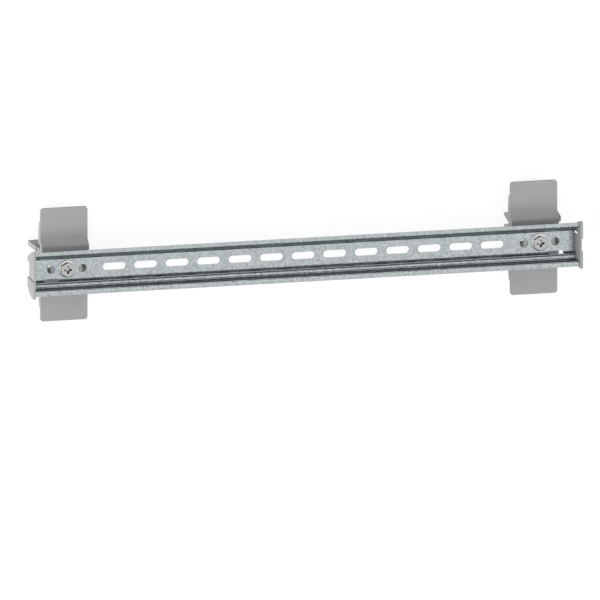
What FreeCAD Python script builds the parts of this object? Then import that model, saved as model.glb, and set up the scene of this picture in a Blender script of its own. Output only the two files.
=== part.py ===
import FreeCAD, Part
import math
import os

from FreeCAD import Vector

# Slotted top-hat rail between two moulded end brackets, lying on its back.
# X runs along the rail, Y across it, Z is up, out of the rail's mouth.
# Depths are measured from the front of the rail's lips towards the back.

# Overall
back_depth = 51.0

# Rail section
rail_length = 431.0
rail_width = 35.0
sheet = 1.0
lip_bend_y = 13.4
ledge_outer_depth = 8.5
ledge_inner_depth = 9.7
channel_half = 8.5
web_depth = 14.0
inside_bend = 0.2
outside_bend = inside_bend + sheet
ledge_hollow = 1.6
ledge_round = 3.0

# Rail punchings
# The slots fill the length that the end margins leave. Holes, screws and
# windows keep their setback from the rail's ends.
slot_pitch = 25.0
slot_length = 18.0
slot_width = 5.8
slot_end_margin = 55.0
hole_diameter = 6.6
hole_setbacks = (15.5, 40.5)
screw_setback = 28.0
window_setback = 15.5
window_length = 12.0
window_web_reach = 1.0
window_ledge_gap = 0.5
punch_overrun = 2.0

# Screws
shank_diameter = 6.0
shank_length = 17.0
shank_end_chamfer = 0.8
across_flats = 10.0
flange_diameter = 13.8
flange_edge = 1.0
flange_height = 1.3
head_height = 4.4
crown_diameter = 10.8
head_crown_angle = 30.0
recess_width = 6.0
recess_arm = 1.8
recess_depth = 3.0
recess_taper = 0.55

# Bracket wings and body
wing_setback = 10.5
wing_width = 37.3
wing_half_length = 45.0
wing_depth = 29.0
wall = 2.0
wing_corner = 2.4
body_half = 16.0
body_depth = 23.5
body_flank_y = 19.6
body_bend = 1.0

# Bracket cheeks and clip arm
cheek = 2.4
cheek_top_y = 34.0
cheek_corner = 2.0
cheek_top_depth = 34.5
cheek_mid_y = 24.0
cheek_mid_depth = 37.0
jaw_root_y = 19.4
jaw_tip_y = 15.8
outer_jaw_root_y = 15.6
outer_jaw_tip_y = 15.2
notch_outer_y = 13.8
notch_root_y = 11.6
notch_root_depth = 33.0
notch_inner_y = 6.1
jaw_corner = 0.3
clip_near_y = 11.2
clip_far_y = 14.9
clip_start_depth = 31.4
clip_overlap = 1.4
clip_root_reach = 3.5
clip_tip_reach = 5.1
clip_leaf = 1.8
clip_web = 2.4
clip_web_start_depth = 37.0
clip_corner = 0.8

# Core openings beside the boss, with a rib along each side
core_half = 2.5
core_cheek_gap = 0.6
core_boss_gap = 1.5
core_link_gap = 1.0
rib_back_depth = 30.9

# Bracket boss and link to the end plate
boss_diameter = 15.0
boss_back_depth = 34.0
boss_hole_clearance = 0.05
boss_hole_depth = 33.0
pad_half_length = 12.4
pad_half_width = 7.0
pad_thickness = 1.8
pad_corner = 1.5
link_half = 5.25
link_depth = 18.4
link_root = 2.0
link_web_gap = 0.2
link_rail_gap = 0.3
link_corner = 1.5

# End plate
plate_gap = 0.6
plate_base = 1.0
plate_lobe = 1.0
plate_front_depth = -3.5
plate_half = 18.9
plate_front_corner = 1.6
plate_back_depth = 17.4
plate_upper_arc_start = -1.6
plate_upper_arc_end_y = 10.6
plate_upper_arc_rise = 1.05
plate_lower_arc_start = 3.0
plate_lower_arc_end_y = 12.6
plate_lower_arc_rise = 1.15
plate_edge = 0.35
groove_half = 5.25
groove_back_depth = 15.0
slit_width = 2.3
slit_start_depth = 6.5

# Places along the rail, counted from its end
rail_end = rail_length / 2
wing_far = rail_end - wing_setback
wing_near = wing_far - wing_width
screw_x = rail_end - screw_setback
window_x = rail_end - window_setback
plate_inner = rail_end + plate_gap
slot_side_count = int((rail_end - slot_end_margin - slot_length / 2) // slot_pitch)


def point(x, y, depth):
    """A point from its place along the rail, across it and its depth."""
    return Vector(x, y, back_depth - depth)


def rounded_outline(corners):
    """Closed wire through corners given as (point, radius), with arcs."""
    edges = []
    starts = []
    ends = []
    count = len(corners)
    for i in range(count):
        corner, radius = corners[i]
        if radius == 0:
            starts.append(corner)
            ends.append(corner)
            edges.append(None)
            continue
        before = (corners[i - 1][0] - corner).normalize()
        after = (corners[(i + 1) % count][0] - corner).normalize()
        half = before.getAngle(after) / 2
        reach = radius / math.tan(half)
        start = corner + before * reach
        end = corner + after * reach
        bisector = (before + after).normalize()
        middle = corner + bisector * (radius / math.sin(half) - radius)
        starts.append(start)
        ends.append(end)
        edges.append(Part.Arc(start, middle, end).toShape())
    wire = []
    for i in range(count):
        if edges[i] is not None:
            wire.append(edges[i])
        following = starts[(i + 1) % count]
        if (following - ends[i]).Length > 1e-6:
            wire.append(Part.makeLine(ends[i], following))
    return Part.Wire(wire)


def along_x(section, start, length):
    """Extrudes (y, depth, radius) corners from x = start."""
    corners = [(point(start, y, depth), radius) for y, depth, radius in section]
    face = Part.Face(rounded_outline(corners))
    return face.extrude(Vector(length, 0, 0))


def along_z(outline, depth_front, depth_back):
    """Extrudes (x, y, radius) corners from one depth back to another."""
    corners = [(point(x, y, depth_back), radius) for x, y, radius in outline]
    face = Part.Face(rounded_outline(corners))
    return face.extrude(Vector(0, 0, depth_back - depth_front))


def along_y(outline, y_low, y_high):
    """Extrudes (x, depth, radius) corners across the rail."""
    corners = [(point(x, y_low, depth), radius) for x, depth, radius in outline]
    face = Part.Face(rounded_outline(corners))
    return face.extrude(Vector(0, y_high - y_low, 0))


def round_bar(x, y, diameter, depth_front, depth_back):
    """A cylinder between two depths, its axis along Z."""
    return Part.makeCylinder(diameter / 2, depth_back - depth_front, point(x, y, depth_back))


# Rail
# The section is drawn as the front line of the sheet from lip to lip, then
# back along the rear line, with each bend's inside and outside radius.
def rail_section():
    half = rail_width / 2
    fall = (ledge_inner_depth - ledge_outer_depth) / (lip_bend_y - channel_half)
    behind = sheet * (math.sqrt(1 + fall * fall) - fall)
    front = [
        (half, 0, 0),
        (lip_bend_y, 0, outside_bend),
        (lip_bend_y, ledge_outer_depth, ledge_hollow),
        (channel_half, ledge_inner_depth, ledge_round),
        (channel_half, web_depth, inside_bend),
    ]
    rear = [
        (half, sheet, 0),
        (lip_bend_y + sheet, sheet, inside_bend),
        (lip_bend_y + sheet, ledge_outer_depth + behind, ledge_hollow + sheet),
        (channel_half + sheet, ledge_inner_depth + behind, ledge_round - sheet),
        (channel_half + sheet, web_depth + sheet, outside_bend),
    ]
    front += [(-y, depth, radius) for y, depth, radius in reversed(front)]
    rear += [(-y, depth, radius) for y, depth, radius in reversed(rear)]
    return front + rear[::-1]


def slot_tool(x):
    """A stadium-shaped punch through the web."""
    straight = slot_length - slot_width
    front = web_depth - punch_overrun
    back = web_depth + sheet + punch_overrun
    ends = [round_bar(x + side * straight / 2, 0, slot_width, front, back) for side in (-1, 1)]
    block = Part.makeBox(straight, slot_width, back - front, point(x - straight / 2, -slot_width / 2, back))
    return block.fuse(ends)


def window_tool(side):
    """A punch that takes the lower inner wall and the bend into the web."""
    outer = channel_half + sheet + punch_overrun
    inner = channel_half - window_web_reach
    front = ledge_inner_depth + window_ledge_gap
    back = web_depth + sheet + punch_overrun
    corner = point(side * window_x - window_length / 2, -outer, back)
    return Part.makeBox(window_length, outer - inner, back - front, corner)


def build_rail():
    bar = along_x(rail_section(), -rail_end, rail_length)
    numbers = range(-slot_side_count, slot_side_count + 1)
    tools = [slot_tool(number * slot_pitch) for number in numbers]
    front = web_depth - punch_overrun
    back = web_depth + sheet + punch_overrun
    for side in (-1, 1):
        for setback in hole_setbacks + (screw_setback,):
            tools.append(round_bar(side * (rail_end - setback), 0, hole_diameter, front, back))
        tools.append(window_tool(side))
    return bar.cut(tools)


# Screws
# A flanged hexagon head with a cross recess and a plain shank the size of
# the thread. The hexagon's corners point across the rail.
def hexagon(x, depth_front, depth_back):
    radius = across_flats / math.sqrt(3)
    corners = []
    for i in range(6):
        angle = math.radians(90 + 60 * i)
        corners.append((x + radius * math.cos(angle), radius * math.sin(angle), 0))
    return along_z(corners, depth_front, depth_back)


def head_crown(x, depth_front, depth_back):
    """A turned blank whose front corners are chamfered by the crown angle."""
    corner = across_flats / math.sqrt(3)
    flat = crown_diameter / 2
    drop = (corner - flat) * math.tan(math.radians(head_crown_angle))
    profile = Part.makePolygon([
        point(x, 0, depth_front),
        point(x + flat, 0, depth_front),
        point(x + corner, 0, depth_front + drop),
        point(x + corner, 0, depth_back),
        point(x, 0, depth_back),
        point(x, 0, depth_front),
    ])
    return Part.Face(profile).revolve(point(x, 0, depth_front), Vector(0, 0, 1), 360)


def recess_tool(x, depth_front):
    """Two crossed wedges that narrow towards the bottom of the recess."""
    arms = []
    for turned in (False, True):
        wide = recess_width / 2
        narrow = wide * recess_taper
        bottom = depth_front + recess_depth
        top = depth_front - punch_overrun
        flare = (wide - narrow) / recess_depth * punch_overrun
        outline = [
            (x - wide - flare, top, 0),
            (x + wide + flare, top, 0),
            (x + narrow, bottom, 0),
            (x - narrow, bottom, 0),
        ]
        arm = along_y(outline, -recess_arm / 2, recess_arm / 2)
        if turned:
            arm.rotate(point(x, 0, 0), Vector(0, 0, 1), 90)
        arms.append(arm)
    core = Part.makeCone(recess_arm * recess_taper, recess_arm, recess_depth, point(x, 0, depth_front + recess_depth))
    return arms[0].fuse([arms[1], core])


def flange(x):
    """The head's flange: a thin rim that rises to the hexagon."""
    seat = web_depth
    rim = flange_diameter / 2
    root = across_flats / 2
    profile = Part.makePolygon([
        point(x, 0, seat),
        point(x + rim, 0, seat),
        point(x + rim, 0, seat - flange_edge),
        point(x + root, 0, seat - flange_height),
        point(x, 0, seat - flange_height),
        point(x, 0, seat),
    ])
    return Part.Face(profile).revolve(point(x, 0, seat), Vector(0, 0, 1), 360)


def build_screw(side):
    x = side * screw_x
    head_front = web_depth - head_height
    head = hexagon(x, head_front, web_depth).common(head_crown(x, head_front, web_depth))
    shank = round_bar(x, 0, shank_diameter, web_depth, web_depth + shank_length)
    end_z = back_depth - web_depth - shank_length
    tips = [e for e in shank.Edges if abs(e.BoundBox.ZMax - end_z) < sheet / 10]
    shank = shank.makeChamfer(shank_end_chamfer, tips)
    body = head.fuse([flange(x), shank]).removeSplitter()
    return body.cut(recess_tool(x, head_front))


# Brackets
# Each is drawn for the +X end. A bent front wall makes the wings and the
# raised body, with open cheeks behind it and the boss for the screw.
def front_wall():
    slope = (body_flank_y - body_half) / (wing_depth - body_depth)
    shift = wall * (math.sqrt(1 + slope * slope) - slope)
    front = [
        (wing_half_length, wing_depth, 0),
        (body_flank_y, wing_depth, body_bend),
        (body_half, body_depth, body_bend),
    ]
    rear = [
        (wing_half_length, wing_depth + wall, 0),
        (body_flank_y - wall * slope + shift - wall, wing_depth + wall, body_bend),
        (body_half - shift, body_depth + wall, body_bend),
    ]
    front += [(-y, depth, radius) for y, depth, radius in reversed(front)]
    rear += [(-y, depth, radius) for y, depth, radius in reversed(rear)]
    sheet_body = along_x(front + rear[::-1], wing_near, wing_width)
    outline = [
        (wing_near, -wing_half_length, wing_corner),
        (wing_far, -wing_half_length, wing_corner),
        (wing_far, wing_half_length, wing_corner),
        (wing_near, wing_half_length, wing_corner),
    ]
    return sheet_body.common(along_z(outline, body_depth - wall, wing_depth + 2 * wall))


def cheek_section(root_y, tip_y):
    """Side profile of a cheek, with its jaws and the notches between them."""
    inner = wing_depth + wall / 2
    middle = body_depth + wall / 2
    upper = [
        (body_half - wall, middle, 0),
        (body_flank_y - wall / 2, inner, 0),
        (cheek_top_y, inner, 0),
        (cheek_top_y, cheek_top_depth, cheek_corner),
        (cheek_mid_y, cheek_mid_depth, wall),
        (root_y, cheek_mid_depth, wall),
        (tip_y, back_depth, jaw_corner),
        (notch_outer_y, back_depth, jaw_corner),
        (notch_root_y, notch_root_depth, jaw_corner),
        (notch_inner_y, back_depth, jaw_corner),
    ]
    return upper + [(-y, depth, radius) for y, depth, radius in reversed(upper)]


def core_rib(side):
    """A rib behind the body, along one side of the core openings."""
    front = body_depth + wall / 2
    low = core_half if side > 0 else -core_half - wall
    corner = point(wing_near, low, rib_back_depth)
    return Part.makeBox(wing_width, wall, rib_back_depth - front, corner)


def core_openings():
    """Two openings through the body's front, one on each side of the boss."""
    front = body_depth - punch_overrun
    back = body_depth + wall + punch_overrun
    starts = (wing_near + cheek + core_cheek_gap, screw_x + boss_diameter / 2 + core_boss_gap)
    ends = (screw_x - boss_diameter / 2 - core_boss_gap, wing_far - link_root - core_link_gap)
    return [Part.makeBox(end - start, 2 * core_half, back - front, point(start, -core_half, back))
            for start, end in zip(starts, ends)]


def clip_arm():
    """The arm beside the outer cheek: a leaf held off it by a thinner web at the back."""
    root = wing_far + clip_root_reach
    tip = wing_far + clip_tip_reach
    lean = (tip - root) / (back_depth - clip_start_depth)
    web_root = root + lean * (clip_web_start_depth - clip_start_depth)
    leaf = [
        (root - clip_leaf, clip_start_depth, 0),
        (root, clip_start_depth, clip_corner),
        (tip, back_depth, clip_corner),
        (tip - clip_leaf, back_depth, 0),
    ]
    inner = wing_far - clip_overlap
    web = [
        (inner, clip_web_start_depth, 0),
        (web_root - clip_leaf / 2, clip_web_start_depth, 0),
        (tip - clip_leaf / 2, back_depth, 0),
        (inner, back_depth, 0),
    ]
    return [along_y(leaf, clip_near_y, clip_far_y), along_y(web, clip_far_y - clip_web, clip_far_y)]


def boss():
    """The pillar under the screw, with the pad that the rail's web lies on."""
    x = screw_x
    front = web_depth + sheet
    pillar = round_bar(x, 0, boss_diameter, front, boss_back_depth)
    outline = [
        (x - pad_half_length, -pad_half_width, pad_corner),
        (x + pad_half_length, -pad_half_width, pad_corner),
        (x + pad_half_length, pad_half_width, pad_corner),
        (x - pad_half_length, pad_half_width, pad_corner),
    ]
    return [pillar, along_z(outline, front, front + pad_thickness)]


def link():
    """The arm from the boss side of the body out to the end plate."""
    front = web_depth + sheet + link_web_gap
    beyond_rail = rail_end + link_rail_gap
    outer = plate_inner + plate_base
    outline = [
        (wing_far - link_root, front, 0),
        (beyond_rail, front, 0),
        (beyond_rail, front - wall, 0),
        (outer, front - wall, 0),
        (outer, groove_back_depth, 0),
        (outer - link_corner, link_depth, 0),
        (wing_far, link_depth, 0),
        (wing_far, body_depth + wall / 2, 0),
        (wing_far - link_root, body_depth + wall / 2, 0),
    ]
    return along_y(outline, -link_half, link_half)


def arc_middle(start, end, rise):
    """The middle of an arc that rises off its chord, away from the rail's axis."""
    chord = (end - start).normalize()
    outward = Vector(0, -chord.z, chord.y)
    middle = (start + end) * 0.5
    if outward.dot(middle - point(middle.x, 0, 0)) < 0:
        outward = outward * -1
    return middle + outward * rise


def plate_outline(x):
    """The end plate's outline, with the swept corners at the back."""
    upper_from = point(x, plate_half, plate_upper_arc_start)
    upper_to = point(x, plate_upper_arc_end_y, plate_back_depth)
    lower_from = point(x, -plate_lower_arc_end_y, plate_back_depth)
    lower_to = point(x, -plate_half, plate_lower_arc_start)
    upper_mid = arc_middle(upper_from, upper_to, plate_upper_arc_rise)
    lower_mid = arc_middle(lower_from, lower_to, plate_lower_arc_rise)
    front_top = point(x, plate_half, plate_front_depth)
    front_low = point(x, -plate_half, plate_front_depth)
    return Part.Wire([
        Part.makeLine(front_top, upper_from),
        Part.Arc(upper_from, upper_mid, upper_to).toShape(),
        Part.makeLine(upper_to, lower_from),
        Part.Arc(lower_from, lower_mid, lower_to).toShape(),
        Part.makeLine(lower_to, front_low),
        Part.makeLine(front_low, front_top),
    ])


def end_plate():
    thickness = plate_base + plate_lobe
    outer = plate_inner + thickness
    blank = Part.Face(plate_outline(plate_inner)).extrude(Vector(thickness, 0, 0))
    front_z = back_depth - plate_front_depth
    corners = [e for e in blank.Edges
               if e.BoundBox.XLength > sheet and abs(e.BoundBox.ZMax - front_z) < sheet / 10]
    blank = blank.makeFillet(plate_front_corner, corners)
    rim = [e for e in blank.Edges if e.BoundBox.XLength < sheet / 10 and e.BoundBox.XMin > outer - sheet / 10]
    blank = blank.makeChamfer(plate_edge, rim)
    deep = plate_back_depth - plate_front_depth + 2 * punch_overrun
    groove = Part.makeBox(thickness, 2 * groove_half, deep,
                          point(plate_inner + plate_base, -groove_half, plate_back_depth + punch_overrun))
    back_cut = Part.makeBox(2 * thickness, 2 * groove_half, deep,
                            point(plate_inner - sheet, -groove_half, groove_back_depth + deep))
    slit = Part.makeBox(2 * thickness, slit_width, deep,
                        point(plate_inner - sheet, groove_half, slit_start_depth + deep))
    return blank.cut([groove, back_cut, slit])


def build_bracket():
    inner_section = cheek_section(jaw_root_y, jaw_tip_y)
    outer_section = cheek_section(outer_jaw_root_y, outer_jaw_tip_y)
    cheeks = [along_x(inner_section, wing_near, cheek), along_x(outer_section, wing_far - cheek, cheek)]
    wall_body = front_wall().cut(core_openings())
    body = wall_body.fuse(cheeks + [core_rib(-1), core_rib(1), link(), end_plate()] + clip_arm() + boss())
    hole_size = shank_diameter + 2 * boss_hole_clearance
    hole = round_bar(screw_x, 0, hole_size, web_depth, boss_hole_depth)
    return body.cut(hole).removeSplitter()


def main():
    os.makedirs("parts", exist_ok=True)
    right = build_bracket()
    left = right.mirror(Vector(0, 0, 0), Vector(1, 0, 0))
    solids = {
        "rail": build_rail(),
        "bracket_left": left,
        "bracket_right": right,
        "screw_left": build_screw(-1),
        "screw_right": build_screw(1),
    }
    for name, shape in solids.items():
        if len(shape.Solids) != 1 or not shape.isValid():
            raise ValueError(name + " is not one valid solid")
        shape.Solids[0].exportStep("parts/" + name + ".step")


main()
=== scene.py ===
import bpy
import numpy as np
from mathutils import Matrix, Vector

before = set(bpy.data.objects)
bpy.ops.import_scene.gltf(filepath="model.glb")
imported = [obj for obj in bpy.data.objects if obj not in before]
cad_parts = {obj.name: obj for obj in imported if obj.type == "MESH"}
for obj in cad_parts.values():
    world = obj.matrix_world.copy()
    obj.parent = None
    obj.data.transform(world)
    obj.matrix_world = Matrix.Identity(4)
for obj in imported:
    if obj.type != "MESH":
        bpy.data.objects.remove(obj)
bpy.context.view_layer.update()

# The rail: a length of 35 mm top-hat section, roll-formed from hot-dip
# galvanised strip 1 mm thick, with its slots and holes punched before forming.
# It lies in the two end brackets and is held by one screw at each end.

MM = 0.001


def linear(hex_colour):
    """An sRGB hex colour as linear RGBA: each channel through the sRGB curve."""
    values = [int(hex_colour[i:i + 2], 16) / 255 for i in (1, 3, 5)]
    return [v / 12.92 if v <= 0.04045 else ((v + 0.055) / 1.055) ** 2.4 for v in values] + [1.0]


def add_node(tree, kind, settings=None, stops=(), **inputs):
    """Adds a node with its settings, its colour stops, and its inputs set or linked.

    A stop is a place on the ramp and an sRGB hex colour. An input goes by its
    name, with _ for a space, or by i and its number.
    """
    node = tree.nodes.new(kind)
    for key, value in (settings or {}).items():
        setattr(node, key, value)
    for index, (position, hex_colour) in enumerate(stops):
        node.color_ramp.elements[index].position = position
        node.color_ramp.elements[index].color = linear(hex_colour)
    for key, value in inputs.items():
        numbered = key[0] == "i" and key[1:].isdigit()
        socket = node.inputs[int(key[1:]) if numbered else key.replace("_", " ")]
        if isinstance(value, bpy.types.NodeSocket):
            tree.links.new(value, socket)
        else:
            socket.default_value = value
    return node


def new_material(name):
    """An empty node material and its tree."""
    material = bpy.data.materials.new(name)
    material.use_nodes = True
    material.node_tree.nodes.clear()
    return material, material.node_tree


def dress(node_name, material):
    """Puts one material on a whole CAD node."""
    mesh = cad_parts[node_name].data
    mesh.materials.clear()
    mesh.materials.append(material)


# Hot-dip galvanised steel, rolled: a satin blue-grey zinc skin. The eye sees
# a fine spangle of slightly lighter and darker crystals, 1.6 mm across, mixed
# with specks of 0.5 mm, and no brush lines.
SPANGLE = 1.6 * MM
SPECK = 0.5 * MM
SPECK_SHARE = 0.55
ZINC_SHADES = ((0.2, "#868B8C"), (0.8, "#A3A8A9"))
ZINC_SMOOTHEST, ZINC_ROUGHEST = 0.21, 0.26
SPANGLE_RELIEF = 0.05 * MM
zinc, tree = new_material("hot_dip_galvanised_steel")
place = add_node(tree, "ShaderNodeTexCoord").outputs["Object"]
crystals = add_node(tree, "ShaderNodeTexVoronoi", {"feature": "F1"}, Vector=place, Scale=1 / SPANGLE)
crystal_tone = add_node(tree, "ShaderNodeSeparateColor", Color=crystals.outputs["Color"]).outputs["Red"]
specks = add_node(tree, "ShaderNodeTexNoise", Vector=place, Scale=1 / SPECK, Detail=2.0, Roughness=0.6)
tone = add_node(tree, "ShaderNodeMix", {"data_type": "FLOAT"},
                i0=SPECK_SHARE, i2=crystal_tone, i3=specks.outputs["Fac"]).outputs[0]
zinc_colour = add_node(tree, "ShaderNodeValToRGB", stops=ZINC_SHADES, Fac=tone)
gloss = add_node(tree, "ShaderNodeMapRange", Value=crystal_tone, To_Min=ZINC_SMOOTHEST, To_Max=ZINC_ROUGHEST)
relief = add_node(tree, "ShaderNodeBump", Height=tone, Strength=0.04, Distance=SPANGLE_RELIEF)
surface = add_node(tree, "ShaderNodeBsdfPrincipled", Base_Color=zinc_colour.outputs["Color"],
                   Roughness=gloss.outputs["Result"], Normal=relief.outputs["Normal"], Metallic=1.0)
add_node(tree, "ShaderNodeOutputMaterial", Surface=surface.outputs["BSDF"])
dress("rail", zinc)

# The end brackets: one left, one right, each a single moulding of grey
# glass-filled polyamide. A screw boss stands up to the rail's web, two flat
# wings reach out across the rail, and a thin end plate closes the rail's end.

# Polyamide from a spark-eroded mould: an even matt mid-grey. The eye sees a
# very fine grain in the sheen and hardly any change of colour. The real grain
# is about 0.1 mm, and is drawn at 0.35 mm, as coarse as it needs to show.
GRAIN = 0.35 * MM
GRAIN_RELIEF = 0.03 * MM
FLOW = 14 * MM
FLOW_SHARE = 0.5
POLYAMIDE_SHADES = ((0.3, "#A2A1A0"), (0.7, "#A8A7A6"))
polyamide, tree = new_material("moulded_glass_filled_polyamide")
place = add_node(tree, "ShaderNodeTexCoord").outputs["Object"]
grain = add_node(tree, "ShaderNodeTexNoise", Vector=place, Scale=1 / GRAIN, Detail=3.0, Roughness=0.55)
flow = add_node(tree, "ShaderNodeTexNoise", Vector=place, Scale=1 / FLOW, Detail=2.0, Roughness=0.5)
shade = add_node(tree, "ShaderNodeMix", {"data_type": "FLOAT"},
                 i0=FLOW_SHARE, i2=grain.outputs["Fac"], i3=flow.outputs["Fac"])
polyamide_colour = add_node(tree, "ShaderNodeValToRGB", stops=POLYAMIDE_SHADES, Fac=shade.outputs[0])
relief = add_node(tree, "ShaderNodeBump", Height=grain.outputs["Fac"], Strength=0.15, Distance=GRAIN_RELIEF)
surface = add_node(tree, "ShaderNodeBsdfPrincipled", Base_Color=polyamide_colour.outputs["Color"],
                   Roughness=0.58, IOR=1.53, Normal=relief.outputs["Normal"])
add_node(tree, "ShaderNodeOutputMaterial", Surface=surface.outputs["BSDF"])
dress("bracket_left", polyamide)
dress("bracket_right", polyamide)

# The screws: two M6 flanged hexagon screws with a cross recess, cold-headed
# from steel wire and zinc plated. Each clamps the rail's web to its bracket.

# Clear-passivated zinc plate on a forged head: a light, slightly warm satin
# metal. The eye sees soft highlights and a faint mottle of 0.25 mm.
MOTTLE = 0.25 * MM
PLATE_SHADES = ((0.3, "#979695"), (0.7, "#A7A6A4"))
plated, tree = new_material("clear_passivated_zinc_plate")
place = add_node(tree, "ShaderNodeTexCoord").outputs["Object"]
mottle = add_node(tree, "ShaderNodeTexNoise", Vector=place, Scale=1 / MOTTLE, Detail=2.0, Roughness=0.5)
plated_colour = add_node(tree, "ShaderNodeValToRGB", stops=PLATE_SHADES, Fac=mottle.outputs["Fac"])
surface = add_node(tree, "ShaderNodeBsdfPrincipled", Base_Color=plated_colour.outputs["Color"],
                   Roughness=0.30, Metallic=1.0)
add_node(tree, "ShaderNodeOutputMaterial", Surface=surface.outputs["BSDF"])
dress("screw_left", plated)
dress("screw_right", plated)

# The studio: a wide floor of white paper under the part, the same paper far
# out and below it, a soft sky with lit patches, a low lamp on the left, and a
# camera over the front of the rail at the photograph's angle.

FLOOR_HALF = 15.0
BACKDROP_HEIGHT = 0.6
BACKDROP_FACES = [(0, 1, 2, 3), (0, 4, 5, 1), (1, 5, 6, 2), (2, 6, 7, 3), (3, 7, 4, 0)]
PAPER_GREY = (0.2, 0.2, 0.2, 1.0)
PAPER_LIFT = 0.86


def square_at(height):
    """Four corners at one height: half the floor's width out from the middle in X and in Y."""
    corners = np.array([(-1.0, -1.0), (1.0, -1.0), (1.0, 1.0), (-1.0, 1.0)]) * FLOOR_HALF
    return np.column_stack((corners, np.full(len(corners), height)))


def lay_paper(name, corners, faces, material):
    """One piece of the studio's paper, from its corners and its faces, put into the scene."""
    mesh = bpy.data.meshes.new(name)
    mesh.from_pydata(corners.tolist(), [], faces)
    mesh.materials.append(material)
    sheet = bpy.data.objects.new(name, mesh)
    bpy.context.scene.collection.objects.link(sheet)
    return sheet


def showing_rays(tree):
    """The largest of three marks: 1 for a ray from the camera, off gloss or through glass, or else 0."""
    rays = add_node(tree, "ShaderNodeLightPath").outputs
    opaque = add_node(tree, "ShaderNodeMath", {"operation": "MAXIMUM"},
                      i0=rays["Is Camera Ray"], i1=rays["Is Glossy Ray"])
    return add_node(tree, "ShaderNodeMath", {"operation": "MAXIMUM"},
                    i0=opaque.outputs[0], i1=rays["Is Transmission Ray"]).outputs[0]


# White paper sweep: matt, lit by the studio, with the rest of its white added
# for the rays that show it, so that it stays white and keeps a faint shadow.
paper, tree = new_material("white_paper_sweep")
matt = add_node(tree, "ShaderNodeBsdfDiffuse", Color=PAPER_GREY)
lift = add_node(tree, "ShaderNodeMath", {"operation": "MULTIPLY"}, i0=showing_rays(tree), i1=PAPER_LIFT)
glow = add_node(tree, "ShaderNodeEmission", Strength=lift.outputs[0])
both = add_node(tree, "ShaderNodeAddShader", i0=matt.outputs[0], i1=glow.outputs[0])
add_node(tree, "ShaderNodeOutputMaterial", Surface=both.outputs[0])
floor = lay_paper("floor", square_at(0.0), [(0, 1, 2, 3)], paper)

# The same paper past the floor's edge and below it, as a wide tray: plain
# white to the rays that show it, and no light on the part.
far_paper, tree = new_material("white_paper_backdrop")
glow = add_node(tree, "ShaderNodeEmission", Strength=showing_rays(tree))
add_node(tree, "ShaderNodeOutputMaterial", Surface=glow.outputs[0])
backdrop = lay_paper("backdrop", np.vstack((square_at(-BACKDROP_HEIGHT), square_at(BACKDROP_HEIGHT))),
                     BACKDROP_FACES, far_paper)

# Sky: dim and a little blue, with a weak fill from the front and white patches
# of light. A patch is its soft edges on some axes of the direction, in the
# order dark, lit, lit, dark, and its strength.
SKY_DIM = 0.17
SKY_TINT = (0.90, 1.02, 1.05, 1.0)
WHITE = (1.0, 1.0, 1.0, 1.0)
FRONT_FILL = ({"Y": (-1.2, -1.1, -0.10, 0.20)}, 0.14)
# The long softbox overhead, which the web and the lips mirror with its core.
OVERHEAD_BOX = ({"Y": (-0.42, -0.31, 0.15, 0.25), "Z": (0.45, 0.75, 1.1, 1.2)}, 1.34)
OVERHEAD_CORE = ({"X": (0.06, 0.14, 0.29, 0.37), "Y": (-0.08, 0.02, 0.14, 0.24),
                  "Z": (0.45, 0.75, 1.1, 1.2)}, 2.80)
# The one beside it lights the wings. In the photograph's view the rail's flat
# faces don't mirror it, so that it leaves their tone alone.
OVERHEAD_LEFT = ({"X": (-0.80, -0.60, -0.25, -0.05), "Y": (-0.45, -0.25, 0.60, 0.80),
                  "Z": (0.40, 0.60, 1.1, 1.2)}, 1.08)
# A small card low at the back, for the light lines in the rail's ledge.
REAR_CARD = ({"X": (0.06, 0.14, 0.29, 0.37), "Y": (0.78, 0.85, 1.1, 1.2),
              "Z": (-0.10, 0.05, 0.44, 0.58)}, 3.00)
# A box at each side, for the outer and inner faces of the end plates.
LEFT_BOX = ({"X": (-1.2, -1.1, -0.90, -0.35), "Z": (-0.30, -0.10, 0.25, 0.55)}, 2.00)
RIGHT_BOX = ({"X": (0.50, 0.80, 1.1, 1.2), "Z": (-0.30, -0.10, 0.25, 0.55)}, 0.80)
PATCHES = (OVERHEAD_BOX, OVERHEAD_LEFT, OVERHEAD_CORE, REAR_CARD, LEFT_BOX, RIGHT_BOX)


def patch_strength(tree, axes, edges, strength):
    """A patch's strength in each direction: times one smooth step up and one down on each of its axes."""
    level = strength
    for axis, (low_dark, low_lit, high_lit, high_dark) in edges.items():
        for dark, lit in ((low_dark, low_lit), (high_dark, high_lit)):
            step = add_node(tree, "ShaderNodeMapRange", {"interpolation_type": "SMOOTHSTEP"},
                            Value=axes[axis], From_Min=dark, From_Max=lit)
            level = add_node(tree, "ShaderNodeMath", {"operation": "MULTIPLY"},
                             i0=step.outputs["Result"], i1=level).outputs[0]
    return level


world = bpy.data.worlds.new("studio_sky")
bpy.context.scene.world = world
world.use_nodes = True
tree = world.node_tree
tree.nodes.clear()
direction = add_node(tree, "ShaderNodeTexCoord").outputs["Generated"]
axes = add_node(tree, "ShaderNodeSeparateXYZ", Vector=direction).outputs
dim_level = add_node(tree, "ShaderNodeMath", {"operation": "ADD"},
                     i0=SKY_DIM, i1=patch_strength(tree, axes, *FRONT_FILL))
dim_sky = add_node(tree, "ShaderNodeBackground", Color=SKY_TINT, Strength=dim_level.outputs[0])
lit_level = 0.0
for edges, strength in PATCHES:
    lit_level = add_node(tree, "ShaderNodeMath", {"operation": "ADD"},
                         i0=lit_level, i1=patch_strength(tree, axes, edges, strength)).outputs[0]
lit_sky = add_node(tree, "ShaderNodeBackground", Color=WHITE, Strength=lit_level)
sky = add_node(tree, "ShaderNodeAddShader", i0=dim_sky.outputs[0], i1=lit_sky.outputs[0])
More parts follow.
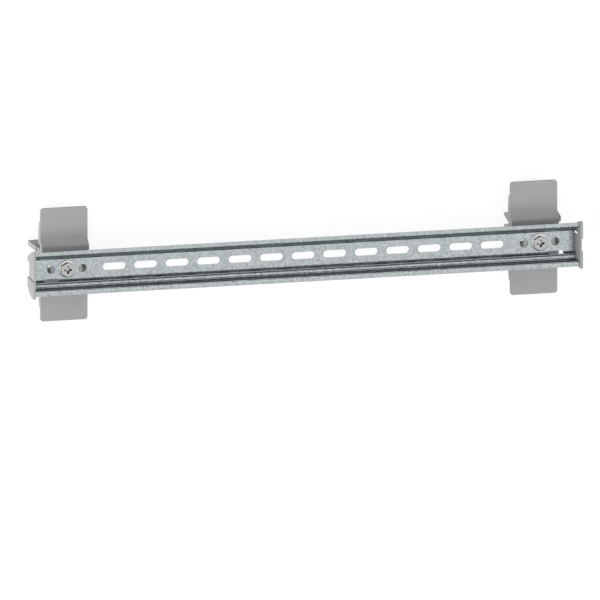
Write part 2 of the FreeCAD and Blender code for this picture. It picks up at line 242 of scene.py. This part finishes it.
add_node(tree, "ShaderNodeOutputWorld", Surface=sky.outputs[0])

# Low softbox: a wide, flat lamp near the floor on the left. It lights the outer
# face of the left end plate and of the clip arm, and passes under the rail.
SOFTBOX_WIDTH = 0.40
SOFTBOX_HEIGHT = 0.05
SOFTBOX_WATTS = 1.6
SOFTBOX_PLACE = (-0.75, 0.0, 0.03)
SOFTBOX_BACK = Vector((-1.0, 0.0, 0.0))
softbox_lamp = bpy.data.lights.new("low_softbox", "AREA")
softbox_lamp.shape = "RECTANGLE"
softbox_lamp.size = SOFTBOX_WIDTH
softbox_lamp.size_y = SOFTBOX_HEIGHT
softbox_lamp.energy = SOFTBOX_WATTS
softbox = bpy.data.objects.new("low_softbox", softbox_lamp)
softbox.location = SOFTBOX_PLACE
softbox.rotation_euler = SOFTBOX_BACK.to_track_quat("Z", "Y").to_euler()
bpy.context.scene.collection.objects.link(softbox)

# Camera: a parallel view, 600 pixels across 464.1 mm, from the front of the
# rail, left of it and above it.
IMAGE_PIXELS = 600
PIXELS_PER_METRE = 1292.8
CAMERA_DISTANCE = 2.0
NEAREST_SEEN, FARTHEST_SEEN = 0.01, 20.0
VIEW_BACK = Vector((-0.21553, 0.24650, 0.94485)).normalized()
VIEW_UP = Vector((0.05484, 0.96914, -0.24033)).normalized()
VIEW_RIGHT = VIEW_UP.cross(VIEW_BACK)
VIEW_TARGET = Vector((-5.74, -31.76, 51.0)) * MM
camera_data = bpy.data.cameras.new("camera")
camera_data.type = "ORTHO"
camera_data.ortho_scale = IMAGE_PIXELS / PIXELS_PER_METRE
camera_data.clip_start = NEAREST_SEEN
camera_data.clip_end = FARTHEST_SEEN
camera = bpy.data.objects.new("camera", camera_data)
view_turn = Matrix((VIEW_RIGHT, VIEW_UP, VIEW_BACK)).transposed().to_4x4()
camera.matrix_world = Matrix.Translation(VIEW_TARGET + CAMERA_DISTANCE * VIEW_BACK) @ view_turn
bpy.context.scene.collection.objects.link(camera)
bpy.context.scene.camera = camera
bpy.context.scene.view_settings.view_transform = "Standard"
